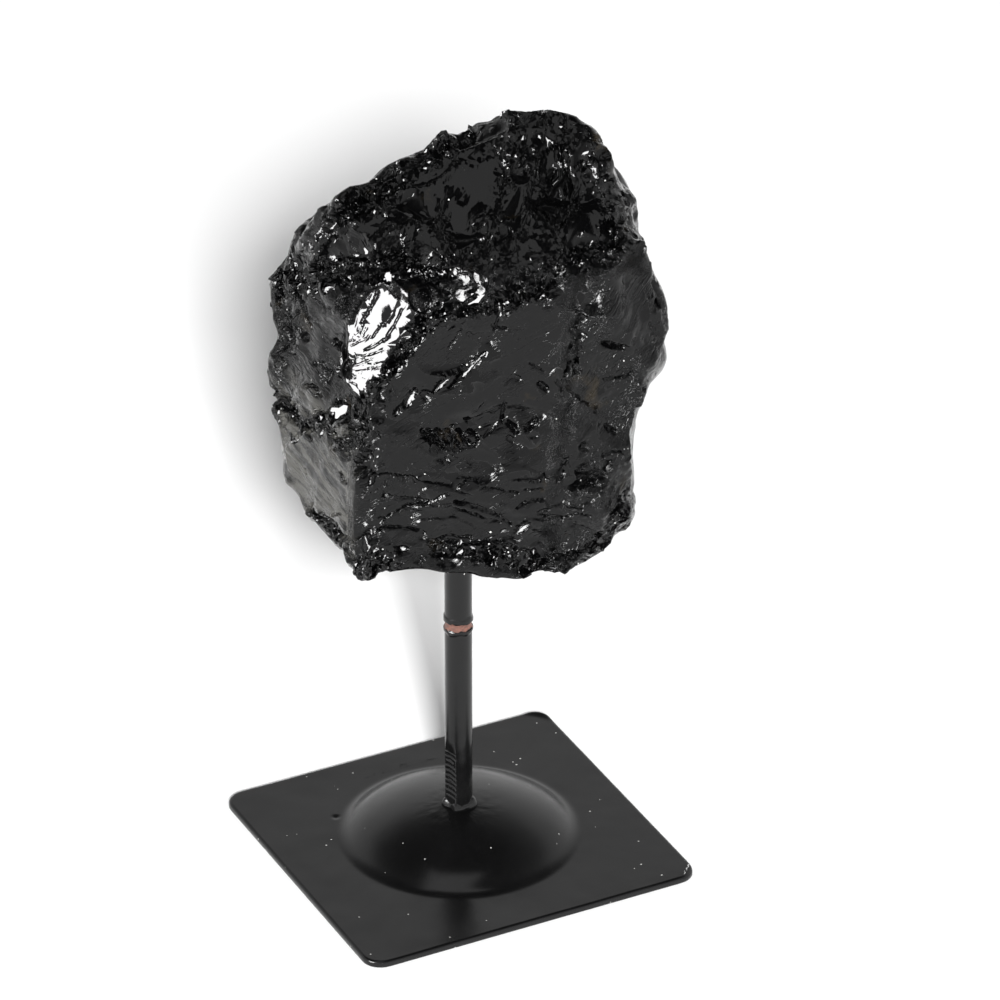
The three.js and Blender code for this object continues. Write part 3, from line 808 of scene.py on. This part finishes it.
def zones(rock):
    """How far each point belongs to the kinds of areas of the stone, from 0 to 1."""
    across, up = rock.across, rock.up
    belts = np.min([polyline_distance(across, up, line) / reach for line, reach in BELTS], axis=0)
    patchy = noise(rock.points, 5, 50)
    belt = rock.seen * (1 - ease(belts + 0.35 * patchy, 0.6, 1.2))
    calm = rock.seen * (1 - ease(np.min([oval(across, up, *o) for o in CALM], axis=0), 0.75, 1.1))
    loose = rock.ridge * np.where(rock.seen > 0.5, 0.3, 0.8) * (1 - calm) * ease(patchy, -0.4, 0.4)
    inner = 0.12 + 0.88 * ease(np.abs(rock.facing), 0.15, 0.4)  # less is broken off along the outline
    top = rock.seen * ease(up - 0.15 * across, 45, 52)
    (x, y), reach = LAMP_BELT
    near_lamp = 1 - ease(np.hypot((across - x) / 1.3, (up - y) * 1.5), *reach)
    return Zones(belt, calm, loose, inner, top, near_lamp)


def break_up(rock, zone, hit):
    """All that is cut into the stone. Hit gives where it shows at a place of the picture."""
    broken = zone.belt + zone.loose
    whole_faces = rock.area * (1 - zone.belt) * (1.02 - zone.calm) * (1 - 0.8 * zone.top)
    rock.cut_at_random(whole_faces, FACE_BOWLS)
    rock.cut_at_random(rock.area * zone.top * (1.1 - zone.calm) * zone.inner**3, TOP_CHIPS, TOP_TWIST)
    rock.cut_at_random(rock.area * broken * zone.inner, RIDGE_CHIPS)
    rock.cut_at_random(rock.area * (broken + 0.04) * zone.inner, SMALL_CHIPS)

    cut_marks(rock, hit, PANELS, unit(BACK + OVERHEAD), PANEL_SINK, PANEL_STEEPNESS)
    flatten_bright_face(rock, hit)
    ledges(rock)
    streaks(rock)
    lamp_weight = rock.area * zone.belt * (zone.near_lamp + 0.03)
    rock.cut_at_random(lamp_weight, LAMP_CHIPS, SLASH_TWIST, BRIGHT_NORMAL)
    cracks(rock)
    cut_marks(rock, hit, GLINTS, BRIGHT_NORMAL, GLINT_SINK, GLINT_STEEPNESS)
    rock.cut_at_random(rock.area * front_face(rock), SLASHES, SLASH_TWIST)
    rock.calm_outline()


def cut_marks(rock, hit, marks, normal, sink, steepness):
    """Cuts shallow bowls that all face the same way at chosen places of the picture."""
    for (x, y), twist, length, width in marks:
        centre = hit(x, y) - sink * normal
        rock.cut(centre, normal, on_surface(twist, normal), length, width, steepness * width)


def surface_values(rock, zone):
    """What the material needs to know: where the stone is broken, where it has flow lines, and where its
    lower left side is painted paler, standing in for the light that falls on it.
    """
    across, up = rock.across, rock.up
    shine = ease(point_normals(rock.points, rock.faces) @ BRIGHT_NORMAL, 0.975, 0.99) * rock.seen
    bright = ease(depth_inside(across, up, BRIGHT_OUTLINE), -0.5, 0.3)
    broken = np.maximum(zone.belt, 0.7 * zone.loose) * (1 - shine) * (1 - bright)
    broken = broken * (1 - 0.7 * zone.near_lamp)
    lined = (1 - 0.9 * shine) * (1 - 0.95 * bright) * (1 - 0.85 * zone.top) * (1 - 0.5 * zone.belt)
    on_left, on_right = parts(rock)[0][0], parts(rock)[1][0]
    lined *= np.where(rock.seen > 0.5, 0.6, 1) + on_left + 0.9 * on_right
    # painted light: where the lower left side is painted paler, standing in for the light on it
    low = ease(-up - 0.6 * across + 6 * noise(rock.points, 9, 63), -3, 8)
    painted_lit_side = on_left * (1 - zone.belt) * low
    return {"broken": broken, "lined": lined, "painted_lit_side": painted_lit_side}


def stone_piece():
    coarse_points, coarse_faces, ridges = cad_stone()
    tree = BVHTree.FromPolygons(coarse_points.tolist(), coarse_faces.tolist())

    def hit(across, up):
        """Where the CAD stone shows at a place of the picture."""
        return np.array(tree.ray_cast(CAMERA, picture_ray(across, up))[0])

    cells = edge_lengths()
    points, faces = subdivided(coarse_points, coarse_faces, lambda *mesh: longest_edge(*mesh, cells))
    warp = [layered(points, WARP_SIZE, 100 + 7 * k, 3) for k in range(3)]
    rock = Rock(points + WARP_DEPTH * np.stack(warp, axis=1), faces, ridges)
    widen_front(rock, hit)
    zone = zones(rock)
    break_up(rock, zone, hit)

    mesh = shaded_mesh("black_stone", rock.points, rock.faces)
    for name, values in surface_values(rock, zone).items():
        attribute = mesh.attributes.new(name, "FLOAT", "POINT")
        attribute.data.foreach_set("value", values.astype(np.float32))
    attribute = mesh.attributes.new("flow", "FLOAT_VECTOR", "POINT")
    attribute.data.foreach_set("vector", flow_lines(rock).astype(np.float32).ravel())
    mesh.materials.append(stone_material())
    stone = placed("black_stone", mesh)
    thin_out(stone)
    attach(stone, "root")
    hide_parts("stone")


def shaded_mesh(name, points, faces):
    """A mesh with points in mm, smooth but for its sharpest edges."""
    mesh = bpy.data.meshes.new(name)
    mesh.from_pydata(points * MM, [], faces)
    mesh.shade_smooth()
    mesh.set_sharp_from_angle(angle=SHARP_ANGLE)
    return mesh


def thin_out(piece):
    """Leaves the piece the triangles that its shape needs most."""
    thinner = piece.modifiers.new("thinner", "DECIMATE")
    thinner.ratio = min(1, STONE_TRIANGLES / len(piece.data.polygons))
    with bpy.context.temp_override(object=piece, active_object=piece):
        bpy.ops.object.modifier_apply(modifier=thinner.name)


def front_face(rock):
    """How far each point belongs to the broad face at the front, from 0 to 1."""
    return rock.seen * (1 - ease(oval(rock.across, rock.up, *FRONT_FACE), 0.8, 1.0))


def flatten_bright_face(rock, hit):
    """The glassy face that mirrors the lamp, with black lines that fan out from its lower left."""
    inside = depth_inside(rock.across, rock.up, BRIGHT_OUTLINE) + 0.4 * noise(rock.points, 2.5, 69)
    height = (rock.points - hit(*BRIGHT_FACE[0])) @ BRIGHT_NORMAL
    flat = rock.seen * ease(inside, -0.4, 0.3) * (np.abs(height) < BRIGHT_RELIEF)
    x, y = rock.across - FAN_CENTRE[0], rock.up - FAN_CENTRE[1]
    out, turn = np.hypot(x, y), np.arctan2(y, x)
    spots = np.stack([FAN_STRETCH * out, FAN_RADIUS * turn, np.zeros(len(out))], axis=1)
    fine = 1 - ease(out + 3 * noise(rock.points, 4, 72), *FAN_ENDS)
    ripple = FAN_DEPTH * fine * np.minimum(0.12 - noise(spots, FAN_WIDTH, 73), 0)
    bend = 0.2 * noise(rock.points, 2.5, 70)
    for half_width, line in FACE_LINES:
        away = polyline_distance(rock.across + bend, rock.up, line) / half_width
        ripple = np.minimum(ripple, LINE_STEEPNESS * half_width * np.minimum(away - 1, 0))
    rock.points -= (flat * (height - ripple))[:, None] * BRIGHT_NORMAL


def cracks(rock):
    """Deep cracks with ragged sides, black because light is lost in them."""
    across = rock.across + GROOVE_WANDER * noise(rock.points, 2.6, 60)
    up = rock.up + GROOVE_WANDER * noise(rock.points, 2.6, 61)
    ragged = 1 + 0.45 * noise(rock.points, 1.6, 62)
    sink = np.zeros(len(across))
    for half_width, line in GROOVES:
        away = polyline_distance(across, up, line) / (half_width * ragged)
        sink = np.maximum(sink, GROOVE_STEEPNESS * half_width * np.maximum(1 - away, 0))
    rock.raise_by(-rock.seen * sink / np.clip(rock.facing, 0.4, 1))


def widen_front(rock, hit):
    """Brings the left side forward, so that the front face reaches further to the left."""
    a, b, c = (hit(*place) for place in FRONT_PLANE)
    normal = unit(np.cross(c - a, b - a))
    behind = (a - rock.points) @ normal / (BACK @ normal)
    share = np.clip((rock.across - WIDER_END) / (WIDER_EDGE - WIDER_END), 0, 1)
    low, high = ease(rock.up, -20, -12), 1 - ease(rock.up, 18, 24)
    forward = np.clip(behind, 0, WIDER) * share * low * high * rock.seen * (rock.across < -20)
    rock.points += forward[:, None] * BACK


def ledges(rock):
    """Wavy steps across the lower front, each a small shelf that faces up, and fine cracks."""
    inside = rock.seen * (1 - ease(oval(rock.across, rock.up, *LEDGE_AREA), 0.8, 1.1))
    bend = 1.1 * noise(rock.points, 16, 80) + 0.35 * noise(rock.points, 5, 81)
    bend = bend + 0.1 * noise(rock.points, 2, 83)
    step = rock.up / LEDGE_HEIGHT + bend
    rise = step - np.floor(step)
    saw = np.where(rise < 1 - LEDGE_EDGE, rise, (1 - rise) / LEDGE_EDGE)
    here = ease(noise(rock.points, 8, 82), -0.3, 0.2)
    rock.raise_by(LEDGE_DEPTH * inside * here * saw)
    wavy = np.stack([0.4 * rock.across, rock.up + 3 * noise(rock.points, 14, 85), 0 * rock.up], axis=1)
    crack = np.maximum(1 - np.abs(noise(wavy, CRACK_SIZE, 84)) / CRACK_WIDTH, 0)
    here = ease(noise(rock.points, 6, 86), -0.1, 0.25)
    rock.raise_by(-CRACK_DEPTH * inside * here * crack)


def parts(rock):
    """Each part of the stone, with the angle of its flow lines and the depth of its streaks."""
    across, up = rock.across, rock.up
    left = rock.seen * (1 - ease(across, -32.5, -30))
    right = rock.seen * ease(across - 0.1 * up, 9, 14) * (1 - ease(up, 48, 56))
    top = rock.seen * ease(up - 0.15 * across, 45, 50)
    front = rock.seen * (1 - left) * (1 - right) * (1 - top)
    return (left, -52, 0.32), (right, 60, 0.38), (top, 80, 0.04), (front, 28, 0), (1 - rock.seen, 75, 0.35)


def drawn_out(rock, part, angle):
    """The points, pushed together along a part's flow so that noise on them is drawn out."""
    middle = (part[:, None] * rock.area[:, None] * rock.normals).sum(axis=0)
    along = on_surface(angle, unit(middle))
    return rock.points - along * (rock.points @ along)[:, None] * DRAWN_OUT


def streaks(rock):
    """Long flow lines, in a direction of its own on each part of the stone."""
    for part, angle, depth in parts(rock):
        spots = drawn_out(rock, part, angle)
        broad = np.abs(noise(spots, 3.2, 90))
        fine = np.abs(noise(spots, 1.1, 91))
        here = ease(noise(rock.points, 11, 92), -0.45, 0.2)
        rock.raise_by(-part * here * depth * (1.6 * broad + 0.7 * fine))


def flow_lines(rock):
    """For each point, the place on which the material's flow lines are drawn."""
    total = np.zeros_like(rock.points)
    weights = np.full(len(total), 1e-6)
    for part, angle, _ in parts(rock):
        total += part[:, None] * drawn_out(rock, part, angle)
        weights += part
    return total / weights[:, None]


def edge_lengths():
    """How long the mesh's edges may be, for small cells of the picture."""
    columns, rows = (np.arange(count) for count in CELL_COUNTS)
    across, up = np.meshgrid(columns * CELL + CELLS_LOW[0], rows * CELL + CELLS_LOW[1], indexing="ij")
    across, up = across.ravel(), up.ravel()
    fine = np.min([oval(across, up, *area) for area in FINE_AREAS], axis=0) < 1
    lines = [polyline_distance(across, up, line) - 1.3 * half for half, line in GROOVES]
    cracked = (np.min(lines, axis=0) < 0) | (depth_inside(across, up, BRIGHT_OUTLINE) > -0.5)
    lengths = np.where(cracked, LINE_EDGE, np.where(fine, FINEST_EDGE, FINE_EDGE))
    return lengths.reshape(CELL_COUNTS)


def longest_edge(points, faces, cells):
    """How long a face's edges may be: short on the side that the photograph shows."""
    facing = unit(face_normals(points, faces)) @ BACK
    places = np.stack(in_picture(points[faces].mean(axis=1)), axis=1)
    column, row = np.clip(((places - CELLS_LOW) / CELL).astype(int), 0, np.array(CELL_COUNTS) - 1).T
    return np.where(facing < -0.1, COARSE_EDGE, cells[column, row])


# ---------------------------------------------------------------- stand
def joined_rings(name, rings, closed):
    """A smooth piece made of rings with as many points each, joined one to the next."""
    count, around = len(rings), len(rings[0])
    faces = []
    for i in range(count if closed else count - 1):
        here, there = i * around, (i + 1) % count * around
        for j in range(around):
            k = (j + 1) % around
            faces.append((here + j, here + k, there + k, there + j))
    if not closed:
        faces.append(tuple(reversed(range(around))))
        faces.append(tuple(range((count - 1) * around, count * around)))
    piece = placed(name, shaded_mesh(name, np.concatenate(rings), faces))
    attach(piece, "root")
    return piece


def dome_height(radius):
    """Height of the dome over the flat, from its slopes."""
    steps = np.linspace(0, DOME_FOOT, 500)
    where, degrees = np.array(DOME_SLOPES).T
    slope = np.tan(np.radians(np.interp(steps, where, degrees)))
    drop = np.concatenate([[0], np.cumsum((slope[1:] + slope[:-1]) / 2 * np.diff(steps))])
    smooth = DOME_RISE * (1 - drop / drop[-1])
    return np.interp(radius, steps, smooth)


def on_plate(across, up):
    """The place on the plate's flat that shows there in the picture."""
    ray = picture_ray(across, up)
    return CAMERA + ray * (PLATE_TOP - CAMERA[2]) / ray[2]


def plate_outline(angles, inset):
    """Points of the plate's outline, moved in by the inset, in those directions from its middle."""
    middle = (cad_plate_low[:2] + cad_plate_high[:2]) / 2
    half = (cad_plate_high[:2] - cad_plate_low[:2]) / 2 - PLATE_CORNER
    ways = np.stack([np.cos(angles), np.sin(angles)], axis=1)
    near, far = np.zeros(len(angles)), np.full(len(angles), 80.0)
    for _ in range(40):
        tried = (near + far) / 2
        beyond = np.abs(tried[:, None] * ways) - half
        outside = np.linalg.norm(np.maximum(beyond, 0), axis=1) + np.minimum(beyond.max(axis=1), 0)
        inside = outside - PLATE_CORNER < -inset
        near, far = np.where(inside, tried, near), np.where(inside, far, tried)
    return middle + near[:, None] * ways


def plate_rings(angles, dome_middle):
    """The plate's rings on plan with their heights: those of its upper side, and the lower ones."""
    ways = np.stack([np.cos(angles), np.sin(angles)], axis=1)
    upper, lower = [], []
    for radius in np.arange(PLATE_HOLE, 30.5, 0.45):
        settle = ease(np.array(radius), 4.0, 12.0)
        upper.append((ROD_AXIS + settle * (dome_middle - ROD_AXIS) + radius * ways, PLATE_TOP))
    upper += [(plate_outline(angles, inset), PLATE_TOP) for inset in FLAT_INSETS]
    for turn in np.radians((0, 22, 45, 67, 90)):
        outline = plate_outline(angles, SHOULDER * (1 - math.sin(turn)))
        upper.append((outline, PLATE_TOP - SHOULDER * (1 - math.cos(turn))))
    for turn in np.radians((90, 45, 0)):
        lower.append((plate_outline(angles, BURR * (1 - math.sin(turn))), BURR * (1 - math.cos(turn))))
    lower += [(plate_outline(angles, inset), 0.0) for inset in (3, 6)]
    lower += [(dome_middle + radius * ways, 0.0) for radius in np.arange(DOME_FOOT, PLATE_HOLE, -1.2)]
    lower.append((ROD_AXIS + PLATE_HOLE * ways, 0.0))
    return upper, lower


def plate_heights(plan, height, on_top, dome_middle):
    """Heights of the plate's points, with its dome, its dent and the two corners that are bent."""
    spots = np.concatenate([plan, np.zeros((len(plan), 1))], axis=1)
    uneven = 0.07 * noise(spots, 16, 200) + 0.02 * noise(spots, 5, 201)
    near_rod = 1 - ease(np.linalg.norm(plan - ROD_AXIS, axis=1), 5, 12)
    uneven += 0.05 * near_rod * layered(spots, 2.5, 202)
    dent = np.linalg.norm(plan - on_plate(*DENT)[:2], axis=1)
    uneven -= DENT_DEPTH * (1 - ease(dent, 0.2, 1.0))
    out = np.linalg.norm(plan - dome_middle, axis=1)
    height += dome_height(out) + on_top * (height > SHOULDER) * uneven * ease(out, 3, 5)
    tip = np.array([cad_plate_high[0], cad_plate_low[1]])
    inward = (plan - tip) @ np.array([-1, 1]) * math.sqrt(0.5)
    height *= 1 - BENT_DROP / PLATE_TOP * (1 - ease(inward, 0.2, BENT_CORNER + 0.3))
    inward = (cad_plate_high[:2] - plan).sum(axis=1) * math.sqrt(0.5)
    return height + CURLED_RISE * (1 - ease(inward, 1.0, CURLED_CORNER))


def plate_piece():
    angles = np.linspace(0, 2 * math.pi, SEGMENTS, endpoint=False)
    dome_middle = ROD_AXIS - DOME_SHIFT * unit(BACK[:2])
    upper, lower = plate_rings(angles, dome_middle)
    plans, lifts = zip(*upper, *lower)
    plan = np.concatenate(plans)
    on_top = np.arange(len(plan)) < len(upper) * SEGMENTS
    height = plate_heights(plan, np.repeat(lifts, SEGMENTS), on_top, dome_middle)
    points = np.concatenate([plan, height[:, None]], axis=1)
    plate = joined_rings("stamped_plate", np.split(points, len(plans)), True)
    plate.data.materials.append(paint_material("black_paint_plate", worn_edge))
    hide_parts("base_plate")


def rod_piece():
    low, high = rod_low.z / MM, rod_high.z / MM
    fine = np.concatenate([
        np.arange(low, 12.0, 0.15), np.arange(12.0, FLAT_TOP + 1, 0.14),
        np.arange(FLAT_TOP + 1, BAND_HEIGHT - 4, 1.5),
        np.arange(BAND_HEIGHT - 4, BAND_HEIGHT + 4, 0.15), np.arange(BAND_HEIGHT + 4, high, 1.5), [high],
    ])
    turns = np.linspace(-math.pi, math.pi, ROD_SEGMENTS, endpoint=False)
    facing = math.atan2(BACK[1], BACK[0])
    rings = []
    for z in fine:
        around = [ROD_RADIUS * np.cos(turns), ROD_RADIUS * np.sin(turns)]
        spots = np.stack([*around, np.full(ROD_SEGMENTS, z)], axis=1)
        radius = rod_radius(turns, z, spots)
        x = ROD_AXIS[0] + radius * np.cos(facing + turns)
        y = ROD_AXIS[1] + radius * np.sin(facing + turns)
        rings.append(np.stack([x, y, spots[:, 2]], axis=1))
    rod = joined_rings("painted_rod", rings, False)
    rod.data.materials.append(paint_material("black_paint_rod", bare_ring))
    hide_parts("rod")


def rod_radius(turns, z, spots):
    """The rod's radius at one height, with its lips of paint, pressed flat, ribs and weld."""
    radius = np.full(len(turns), ROD_RADIUS) + 0.025 * noise(spots, 3, 210)
    from_band = abs(z - BAND_HEIGHT - 0.35 * noise(spots, 2.2, 211)[0])
    ragged = 0.45 * noise(spots, 1.8, 212)
    lip = ease(from_band + ragged, BAND_HALF - 0.15, BAND_HALF + 0.15)
    lip *= 1 - ease(from_band + ragged, BAND_HALF + 0.6, LIP_REACH + 0.4)
    radius += LIP_RISE * lip * (0.55 + 0.45 * np.abs(np.sin(turns))) - 0.08 * (from_band < BAND_HALF)
    pressed = 1 - ease(np.array(z), FLAT_TOP - 5, FLAT_TOP)
    flat = (ROD_RADIUS - FLAT_DEPTH) / np.maximum(np.cos(turns - math.radians(FLAT_TURN)), 0.3)
    in_flat = flat < radius
    radius = np.where(in_flat, radius + pressed * (flat - radius), radius)
    rise = (z + 0.35 * np.sin(2 * turns) + 0.3 * noise(spots, 4, 213)) / RIB_PITCH
    groove = ease(np.abs(rise - np.floor(rise) - 0.5) * 2, 0.45, 0.9)
    ribbed = ease(np.array(z), RIB_START - 1, RIB_START) * (1 - ease(np.array(z), RIB_END - 1, RIB_END))
    radius -= RIB_DEPTH * ribbed * in_flat * groove * ease(noise(spots, 2.5, 214), -0.5, -0.1)
    above = z - PLATE_TOP - DOME_RISE
    lumps = 0.3 + 0.2 * noise(spots, 1.5, 215)
    for degrees, size, width in WELD_LUMPS:
        lumps += size * np.exp(-((turns - math.radians(degrees)) / width) ** 2)
    weld = np.maximum(lumps, 0.1) * np.sqrt(np.clip(1 - above / (0.6 + lumps), 0, 1)) * (above > -1)
    return radius + weld


# ---------------------------------------------------------------- light and floor
FLOOR_SIZE = 12.0  # m
FLOOR_GAP = 0.0001  # m that the floor lies below the stand, so that the two don't flicker
# How bright the surroundings are, by the height of the direction that is looked in.
WORLD_STOPS = (
    (0.0, 0.95), (0.3, 0.92), (0.42, 0.8), (0.57, 0.74), (0.65, 0.35), (0.72, 0.14),
    (0.82, 0.06), (0.92, 0.015), (1.0, 0.004),
)


def make_world():
    """White surroundings from the floor's horizon up, and darkness overhead."""
    world = bpy.data.worlds.new("studio")
    bpy.context.scene.world = world
    n = Nodes(world)
    direction = n.add("ShaderNodeTexCoord").outputs["Generated"]
    height = n.add("ShaderNodeSeparateXYZ", {"Vector": direction}).outputs["Z"]
    ramp = n.add("ShaderNodeValToRGB", {"Fac": height})
    ramp.color_ramp.elements.remove(ramp.color_ramp.elements[1])
    for i, (where, grey) in enumerate(WORLD_STOPS):
        stop = ramp.color_ramp.elements[0] if i == 0 else ramp.color_ramp.elements.new(where)
        stop.position = where
        stop.color = (grey, grey, grey, 1)
    background = n.add("ShaderNodeBackground", {"Color": ramp.outputs["Color"]})
    n.add("ShaderNodeOutputWorld", {"Surface": background.outputs["Background"]})


def softbox(name, direction, distance, size, radiance, glossy):
    """A square lamp seen only in gloss, or one that only lights matt surfaces and casts the shadow."""
    data = bpy.data.lights.new(name, "AREA")
    data.shape = "SQUARE"
    data.size = size
    data.energy = radiance * math.pi * size * size
    lamp = placed(name, data)
    aim(lamp, AIM * MM + direction * distance, -direction)
    lamp.visible_glossy = glossy
    lamp.visible_diffuse = not glossy
    lamp.visible_camera = False


def make_floor():
    half = FLOOR_SIZE / 2
    mesh = bpy.data.meshes.new("floor")
    corners = [(-half, -half, 0), (half, -half, 0), (half, half, 0), (-half, half, 0)]
    mesh.from_pydata(corners, [], [(0, 1, 2, 3)])
    material = bpy.data.materials.new("floor")
    n = Nodes(material)
    n.surface(Base_Color=(0.9, 0.9, 0.9, 1), Roughness=0.9, Specular_IOR_Level=0.0)
    mesh.materials.append(material)
    floor = placed("floor", mesh)
    floor.location.z = -FLOOR_GAP


make_camera()
make_world()
make_floor()
# Name, direction, metres away, size in metres, radiance, and whether it shows in gloss alone.
softbox("front_left", compass(VIEW_AZIMUTH - 48, 21), 1.5, 0.55, 40, True)
softbox("overhead", OVERHEAD, 1.5, 0.85, 1.0, True)
softbox("table_glow", compass(VIEW_AZIMUTH - 50, -3.2), 0.9, 0.4, 0.7, True)
softbox("key", compass(VIEW_AZIMUTH + 4.6, 29.2), 12.0, 1.2, 560, False)

stone_piece()
plate_piece()
rod_piece()

bpy.context.scene.view_settings.view_transform = "Standard"
